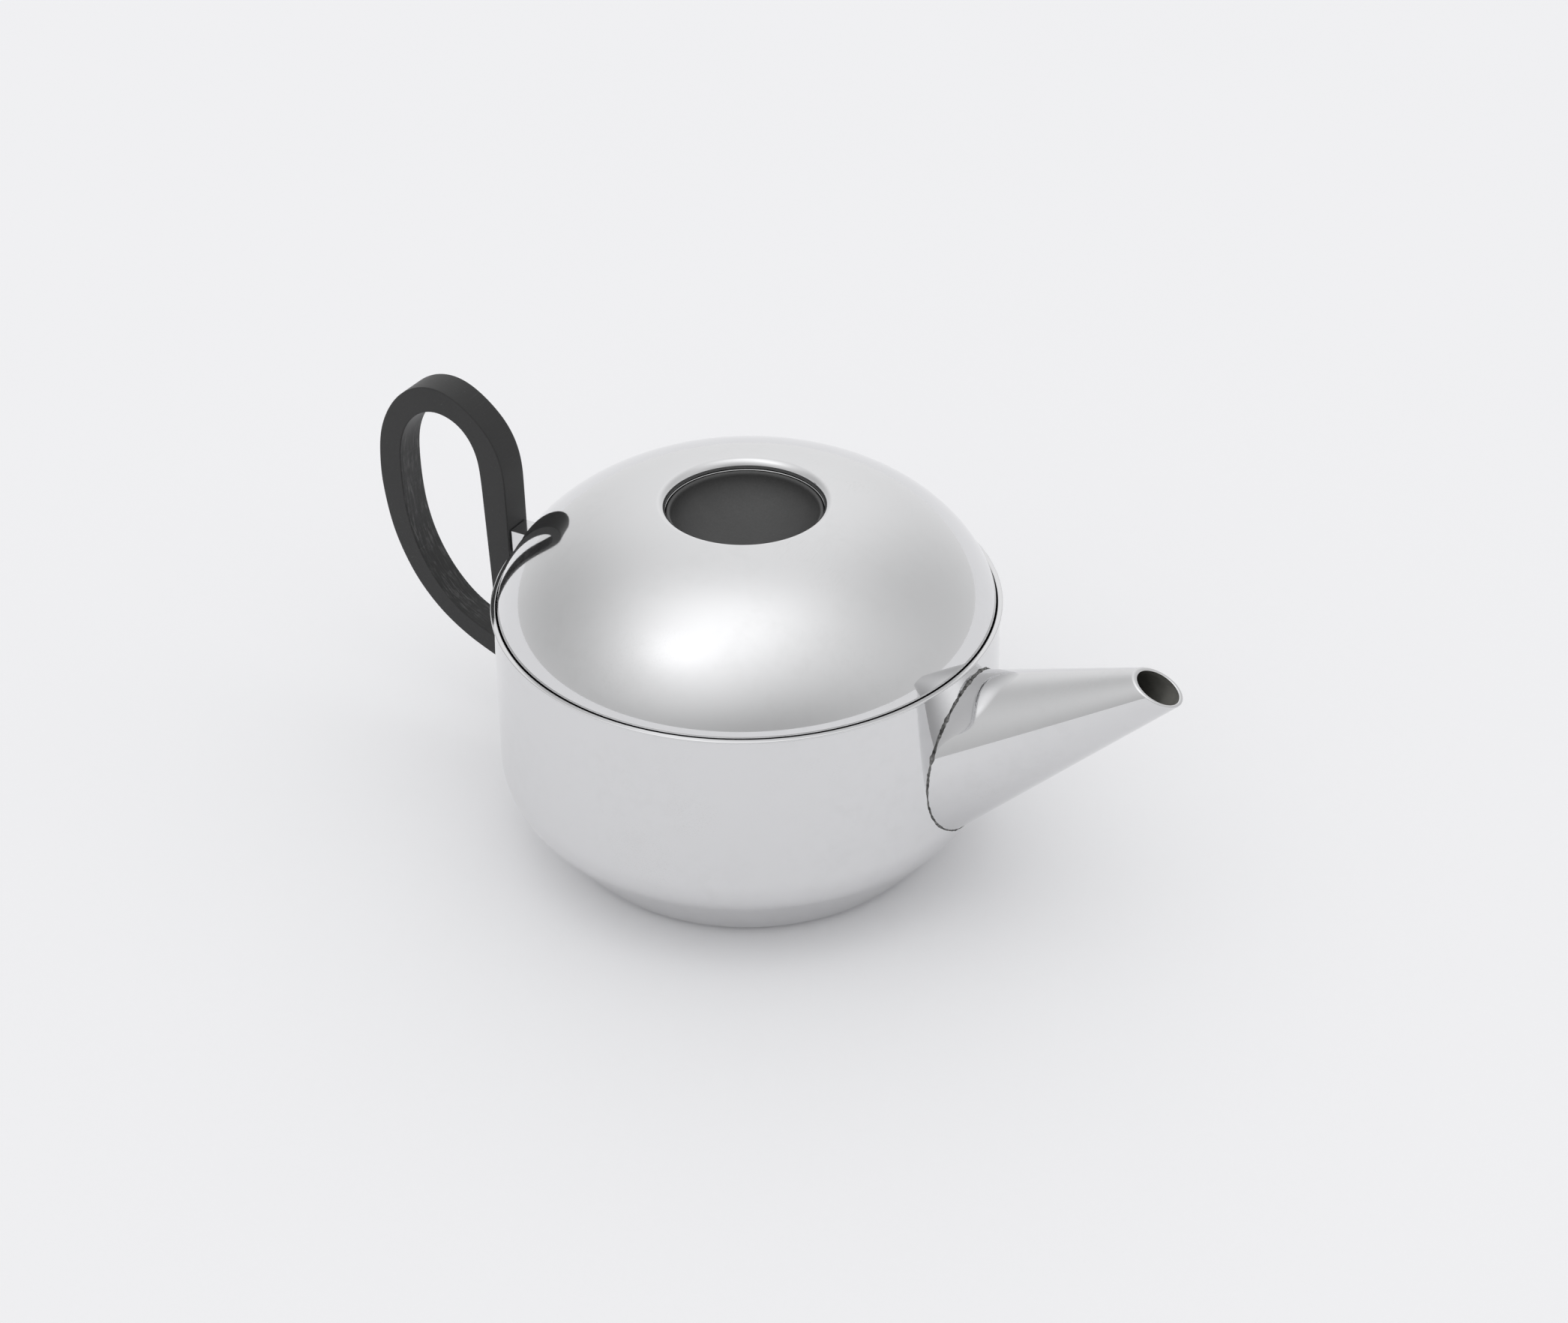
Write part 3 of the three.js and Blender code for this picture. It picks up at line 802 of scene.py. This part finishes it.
if area2(outer_loop) < 0:
    outer_loop = outer_loop[::-1]
if area2(inner_loop) < 0:
    inner_loop = inner_loop[::-1]
no = loop_normals(outer_loop, 1.0)      # away from the bar
ni = -loop_normals(inner_loop, 1.0)     # into the finger gap, seen from the bar: away from the bar
ni = -ni * -1.0
EDGE = 0.42
half = HANDLE_W / 2


def pot_clamp(x, y, z):
    lim = -math.sqrt((pot_r(z) + 0.08) ** 2 - y * y)
    return min(x, lim) if x > -FOOT_R - 0.35 and z < 50 else x


verts, faces = [], []
bands = [(-half + EDGE * (1 - math.sin(a)), EDGE * (1 - math.cos(a))) for a in [math.pi / 2 * k / 4 for k in range(4, 0, -1)]]
ys = bands + [(y, 0.0) for y in np.linspace(-half + EDGE, half - EDGE, 7)] + [(-y, d) for y, d in reversed(bands)]
loops = []
for L, N in ((outer_loop, no), (inner_loop, ni)):
    rows = []
    for y, d in ys:
        rows.append(list(range(len(verts), len(verts) + len(L))))
        for (x, z), (nx, nz) in zip(L, N):
            px, pz = x - nx * d, z - nz * d
            Z = pz + RIM_Z
            verts.append((pot_clamp(px, y, Z) if L is outer_loop else px, y, Z))
    for k in range(len(rows) - 1):
        a, b = rows[k], rows[k + 1]
        for i in range(len(L)):
            j = (i + 1) % len(L)
            faces.append((a[i], b[i], b[j], a[j]))
    loops.append(rows)
from mathutils.geometry import tessellate_polygon
for side in (0, -1):
    ids = loops[0][side] + loops[1][side]
    polys = [[Vector((verts[i][0], verts[i][2], 0)) for i in loops[0][side]], [Vector((verts[i][0], verts[i][2], 0)) for i in loops[1][side]]]
    for tri in tessellate_polygon(polys):
        faces.append(tuple(ids[t] for t in tri))
handle = build("handle", verts, faces, [M_RESIN])
cut(handle, [
    rod_x("bore", 4.0, -100, -92.6, 0, RIM_SCREW_Z, 40), rod_x("bore", 2.3, -93, -84, 0, RIM_SCREW_Z, 32),
    rod_x("bore", 3.5, -91.2, -74, 0, FOOT_Z, 32),
])
finish_piece(handle, "pot", ["handle_loop"], 32)

# steel block between the rim and the handle's leg
def block():
    x0, x1 = LEG_X + 0.1, -79.0
    hw, z0, z1, e = 4.3, 78.0, 86.0, 0.25
    sec = rounded([(-hw, z0), (hw, z0), (hw, z1), (-hw, z1)], [e] * 4, 4)
    n = len(sec)
    verts, faces, rows = [], [], []
    for k in range(5):
        a = math.pi / 2 * k / 4
        inset = e * (1 - math.sin(a))
        rows.append(list(range(len(verts), len(verts) + n)))
        for y, z in sec:
            s = 1 - inset / hw
            verts.append((x0 + e * (1 - math.cos(a)), y * s, (z - 82) * s + 82))
    rows.append(list(range(len(verts), len(verts) + n)))
    for y, z in sec:
        lim = 80.06 if z > 85.2 else (79.45 if z > 84.9 else pot_r(z) + 0.06)
        verts.append((-math.sqrt(lim ** 2 - y * y), y, z))
    for k in range(len(rows) - 1):
        a, b = rows[k], rows[k + 1]
        for i in range(n):
            j = (i + 1) % n
            faces.append((a[i], b[i], b[j], a[j]))
    faces.append(tuple(rows[0]))
    faces.append(tuple(rows[-1][::-1]))
    return build("rim_lug", verts, faces, [M_BLOCK])


lug = block()
cut(lug, [rod_x("bore", 2.3, -90, -81.6, 0, RIM_SCREW_Z, 32)])
finish_piece(lug, "pot", ["rim_block"], 32)

# ------------------------------------------------------------------ fasteners
def washer_x(name, r0, r1, x0, x1, z, mat, e=0.15, seg=48):
    v, f = lathe(rounded([(r0, x0), (r1, x0), (r1, x1), (r0, x1)], [e] * 4, 3), seg)
    return build(name, along_x(v, 0, z), f, [mat])


def washer_z(name, r0, r1, z0, z1, mat, e=0.15, seg=48):
    v, f = lathe(rounded([(r0, z0), (r1, z0), (r1, z1), (r0, z1)], [e] * 4, 3), seg)
    return build(name, v, f, [mat])


def threaded(r, x0, x1, pitch=0.7, depth=0.22):
    """Shank profile with thread-like grooves between x0 and x1."""
    n = max(2, int(abs(x1 - x0) / pitch))
    step = (x1 - x0) / n
    out = []
    for i in range(n):
        out += [(r - depth, x0 + step * i), (r, x0 + step * (i + 0.35)), (r, x0 + step * (i + 0.65))]
    out.append((r - depth, x1))
    return out


# screw through the leg into the block: cap head with a six-sided socket
prof = [(0, -96.0), (3.2, -96.0), (3.4, -95.93), (3.5, -95.75), (3.5, -93.75), (3.45, -93.7), (2.0, -93.7), (2.0, -90.0)] + threaded(2.0, -89.8, -82.4) + [(1.3, -82.0), (0, -82.0)]
v, f = lathe(prof, 64, closed=False)
s = build("leg_screw", along_x(v, 0, RIM_SCREW_Z), f, [M_HEAD])
cut(s, [rod_x("hex", 1.6, -97, -94.6, 0, RIM_SCREW_Z, 6)])
finish_piece(s, "pot", ["rim_screw"], 30)
finish_piece(washer_x("leg_screw_washer", 2.25, 3.7, -93.55, -92.75, RIM_SCREW_Z, M_HEAD), "pot", ["rim_screw_washer"], 40)
# foot fixing, screwed from inside the pot
finish_piece(washer_x("foot_thread_insert", 2.2, 3.2, -90.8, -81.0, FOOT_Z, M_BRASS), "pot", ["foot_insert"], 40)
finish_piece(washer_x("foot_gasket", 2.3, 5.2, -78.75, -77.55, FOOT_Z, M_RUBBER, 0.35), "pot", ["foot_seal"], 50)
finish_piece(washer_x("foot_screw_washer", 2.3, 5.0, -77.45, -76.55, FOOT_Z, M_HEAD), "pot", ["foot_washer"], 40)
prof = [(0, -89.5), (1.4, -89.5)] + threaded(2.0, -89.1, -78.4) + [(2.0, -78.2), (2.0, -76.4), (3.8, -76.4), (3.9, -76.3), (3.86, -75.6), (3.7, -75.0), (3.4, -74.55), (2.9, -74.25), (2.2, -74.1), (0, -74.1)]
v, f = lathe(prof, 64, closed=False)
s = build("foot_bolt", along_x(v, 0, FOOT_Z), f, [M_HEAD])
cut(s, [rod_x("hex", 1.5, -75.3, -73.5, 0, FOOT_Z, 6)])
finish_piece(s, "pot", ["foot_screw"], 30)


# ------------------------------------------------------------------ lid
def dome_z(r, R=LID_R):
    return RIM_Z + LID_RISE * max(0.0, 1 - (r / R) ** LID_M) ** (1 / LID_K)


def cad_dome_z(r):
    return dome_z(r, 77.85)


collar_top = cad_dome_z(HOLE_R + 0.9 + 0.5) - 0.1
collar_foot = collar_top - 3.0
cup_top = collar_foot - 0.35
zb = cup_top - 13.5 - 2.0
pan_floor = zb - 4.2 - 0.35
fl = pan_floor - 0.8

ROLL_R = 2.4
slope = math.atan2(dome_z(27.0) - dome_z(27.5), 0.5)
ROLL_OUT = HOLE_R + ROLL_R * (1 + math.sin(slope)) + 0.05
dome = []
for i in range(1, 97):
    th = math.pi / 2 * (1 - i / 96 * 0.94)
    r = LID_R * math.sin(th) ** (2 / LID_M)
    z = RIM_Z + LID_RISE * math.cos(th) ** (2 / LID_K)
    if r < ROLL_OUT:
        break
    dome.append((r, z))
outer_lid = [(LID_R - 0.25, 82.0), (LID_R - 0.08, 82.08), (LID_R, 82.3), (LID_R, 83.5), (LID_R, 84.8), (LID_R, 85.6)] + dome
# edge rolled over into the collar: quarter turn from the dome's slope to straight down
cx = HOLE_R + ROLL_R
cz = dome_z(cx + ROLL_R * math.sin(slope)) - ROLL_R * math.cos(slope)
roll = [(cx + ROLL_R * math.sin(t), cz + ROLL_R * math.cos(t)) for t in np.linspace(slope, -math.pi / 2, 18)]
inner_lid = []
for (r, z), (r0, z0), (r1, z1) in zip(dome[1:-1], dome[:-2], dome[2:]):
    t = np.array([r1 - r0, z1 - z0])
    t /= np.linalg.norm(t)
    inner_lid.append((r + t[1] * -LID_T * 1.0 if False else r - LID_T * t[1], z + LID_T * t[0]))
inner_lid = inner_lid[::2]
prof = outer_lid + roll + [(HOLE_R, collar_foot + 0.25), (HOLE_R + 0.08, collar_foot + 0.07), (HOLE_R + 0.25, collar_foot),
    (HOLE_R + 0.65, collar_foot), (HOLE_R + 0.82, collar_foot + 0.07), (HOLE_R + 0.9, collar_foot + 0.25), (HOLE_R + 0.9, collar_top - 1.5)]
inner_rev = [p for p in inner_lid[::-1] if p[0] > HOLE_R + 1.2]
prof += inner_rev + [(LID_R - 1.0, 85.4), (LID_R - 1.0, 84.0), (LID_R - 1.0, 82.3), (LID_R - 0.92, 82.08), (LID_R - 0.75, 82.0)]
v, f = lathe(prof, SEG)
finish_piece(build("lid_shell", v, f, [M_LID]), "lid", ["lid_dome"], 40)

pts = [(72.4, 75.6), (73.4, 75.6), (73.4, 82.1), (76.5, 82.1), (76.5, 83.1), (72.4, 83.1)]
v, f = lathe(rounded(pts, [0.35, 0.35, 0.5, 0.2, 0.2, 0.9], 4), SEG)
finish_piece(build("lid_skirt", v, f, [M_RING]), "lid", ["lid_locating_ring"])

# black finger cup
R, in_r = 24.2, 22.9
prof = [(0, cup_top - 13.5), (2.5, cup_top - 13.49), (5, cup_top - 13.42)]
prof = [(0, cup_top - 13.5)]
for i in range(1, 41):
    t = i / 40 * math.pi / 2
    # flat-bottomed bowl: the floor runs into the side in one sweep
    r = in_r * math.sin(t) ** 0.9
    prof.append((r, cup_top - 0.9 - 12.6 * math.cos(t) ** 1.05))
prof += [(in_r + 0.12, cup_top - 0.45), (in_r + 0.35, cup_top - 0.12), (in_r + 0.65, cup_top), (R - 0.35, cup_top), (R - 0.1, cup_top - 0.1), (R, cup_top - 0.35)]
for i in range(16, -1, -1):
    t = i / 16 * math.pi / 2
    prof.append((6.5 + (R - 6.5) * math.sin(t), cup_top - 1.6 - 13.9 * math.cos(t)))
prof += [(5.5, zb - 0.1), (5.5, zb - 4.0), (5.3, zb - 4.2), (3.0, zb - 4.2), (3.0, zb - 0.2), (0, zb - 0.2)]
v, f = lathe(prof, 144, closed=False)
finish_piece(build("finger_cup", v, f, [M_CUP]), "lid", ["grip_cup"], 40)

# steel pan that closes the recess from below
P, top = 24.2 + 0.35, collar_foot - 0.3
pin, pout = [], []
for i in range(0, 21):
    t = i / 20 * math.pi / 2
    pin.append((9 + (P - 9) * math.sin(t), top - 2.2 - (top - 2.2 - pan_floor) * math.cos(t)))
    pout.append((9 + (P + 0.8 - 9) * math.sin(t), top - 2.2 - (top - 2.2 - pan_floor + 0.8) * math.cos(t)))
prof = [(2.5, fl), (6, fl)] + pout + [(P + 0.8, top - 0.15), (P + 0.65, top), (P + 0.15, top), (P, top - 0.15)] + pin[::-1] + [(6, pan_floor), (2.5, pan_floor)]
v, f = lathe(prof, 144)
finish_piece(build("recess_pan", v, f, [M_RING]), "lid", ["grip_pan"], 40)
finish_piece(washer_z("cup_thread_insert", 1.95, 2.75, zb - 4.2, zb - 0.5, M_BRASS), "lid", ["grip_insert"], 40)
finish_piece(washer_z("pan_gasket", 2.4, 5.6, fl - 1.1, fl - 0.1, M_RUBBER, 0.3), "lid", ["grip_seal"], 50)
finish_piece(washer_z("pan_washer", 2.4, 5.2, fl - 2.0, fl - 1.2, M_HEAD), "lid", ["grip_washer"], 40)
prof = [(0, zb - 0.9), (1.3, zb - 0.9)] + threaded(1.75, zb - 1.2, pan_floor + 0.2) + [(1.75, fl - 2.1), (3.5, fl - 2.1), (3.6, fl - 2.2), (3.56, fl - 2.8), (3.4, fl - 3.4), (3.1, fl - 3.8), (2.6, fl - 4.08), (1.9, fl - 4.2), (0, fl - 4.2)]
v, f = lathe(prof, 64, closed=False)
s = build("cup_screw", v, f, [M_HEAD])
cut(s, [rod_z("hex", 1.4, fl - 5, fl - 3.1, 6)])
finish_piece(s, "lid", ["grip_screw"], 30)

# ------------------------------------------------------------------ floor, light, camera
fm, n = material("floor_paper")
co = n.coords()
mott = n.noise(co, 3.0, detail=2)
grain = n.noise(co, 900, detail=2)
tone = n.math("MULTIPLY_ADD", grain, 0.4, n.math("MULTIPLY", mott, 0.6))
color = n.mix(n.ramp(tone, 0.3, 0.7), (0.966, 0.966, 0.978, 1), (0.976, 0.976, 0.988, 1))
n.bsdf(color, 1.0, 0.0, None, **{"Specular IOR Level": 0.0})
me = bpy.data.meshes.new("floor")
h = 80.0
me.from_pydata([(-h, -h, -0.0002), (h, -h, -0.0002), (h, h, -0.0002), (-h, h, -0.0002)], [], [(0, 1, 2, 3)])
me.materials.append(fm)
floor = bpy.data.objects.new("floor", me)
bpy.context.scene.collection.objects.link(floor)

world = bpy.data.worlds.new("studio")
bpy.context.scene.world = world
world.use_nodes = True
n = Nodes(world.node_tree)
d = n.new("ShaderNodeTexCoord").outputs["Generated"]
d = n.vec("NORMALIZE", d)
ca, sa = math.cos(AZ), math.sin(AZ)


def to_world(right, away, up):
    return (right * ca - away * sa, right * sa + away * ca, up)


def polar(px, py):
    rho = math.radians(math.hypot(px, py))
    az = math.atan2(px, -py)
    e = math.pi / 2 - rho
    return math.cos(e) * math.sin(az), -math.cos(e) * math.cos(az), math.sin(e)


light = n.math("ADD", 0.477, n.vec("DOT_PRODUCT", d, to_world(0, 0.22, -0.5)))
for px, py, k, amp in ((-24.6, -18.2, 37.46, 0.218), (-5.5, 3.9, 7.15, 0.563), (2.7, 54.7, 6.11, 0.4), (-24.9, -29.2, 3.29, 0.781), (35.6, -19.5, 2.63, 0.534)):
    dot = n.vec("DOT_PRODUCT", d, to_world(*polar(px, py)))
    e = n.math("EXPONENT", n.math("MULTIPLY", n.math("SUBTRACT", dot, 1.0), k))
    light = n.math("MULTIPLY_ADD", e, amp, light)
light = n.math("MULTIPLY", n.math("MAXIMUM", light, 0.02), 1.08)
bg = n.new("ShaderNodeBackground")
bg.inputs["Color"].default_value = (0.992, 0.994, 1.0, 1)
n.put(bg.inputs["Strength"], light)
out = n.new("ShaderNodeOutputWorld")
n.t.links.new(bg.outputs[0], out.inputs[0])

PITCH, YAW, ROLL = 0.590124, -0.016026, -0.011643
DIST, HIGH, FOCAL = 713.586, 452.275 + RIM_Z, 3600.0


def aligned(x, y, z):
    return Vector((x * ca - y * sa, x * sa + y * ca, z))


cy, sy, cp, sp, cr, sr = math.cos(YAW), math.sin(YAW), math.cos(PITCH), math.sin(PITCH), math.cos(ROLL), math.sin(ROLL)
right = aligned(cy, sy, 0)
upv = aligned(-sy * sp, cy * sp, cp)
fwd = aligned(-sy * cp, cy * cp, -sp)
r2 = right * cr + upv * sr
u2 = upv * cr - right * sr
cam_data = bpy.data.cameras.new("camera")
cam = bpy.data.objects.new("camera", cam_data)
bpy.context.scene.collection.objects.link(cam)
cam.matrix_world = Matrix((
    (r2.x, u2.x, -fwd.x, DIST * sa * MM),
    (r2.y, u2.y, -fwd.y, -DIST * ca * MM),
    (r2.z, u2.z, -fwd.z, HIGH * MM),
    (0, 0, 0, 1),
))
cam_data.sensor_fit = "HORIZONTAL"
cam_data.sensor_width = 36.0
cam_data.lens = 36.0 * FOCAL / 2091.0
cam_data.clip_start = 0.01
cam_data.clip_end = 500.0
bpy.context.scene.camera = cam
bpy.context.scene.view_settings.view_transform = "Standard"
bpy.context.scene.view_settings.look = "None"
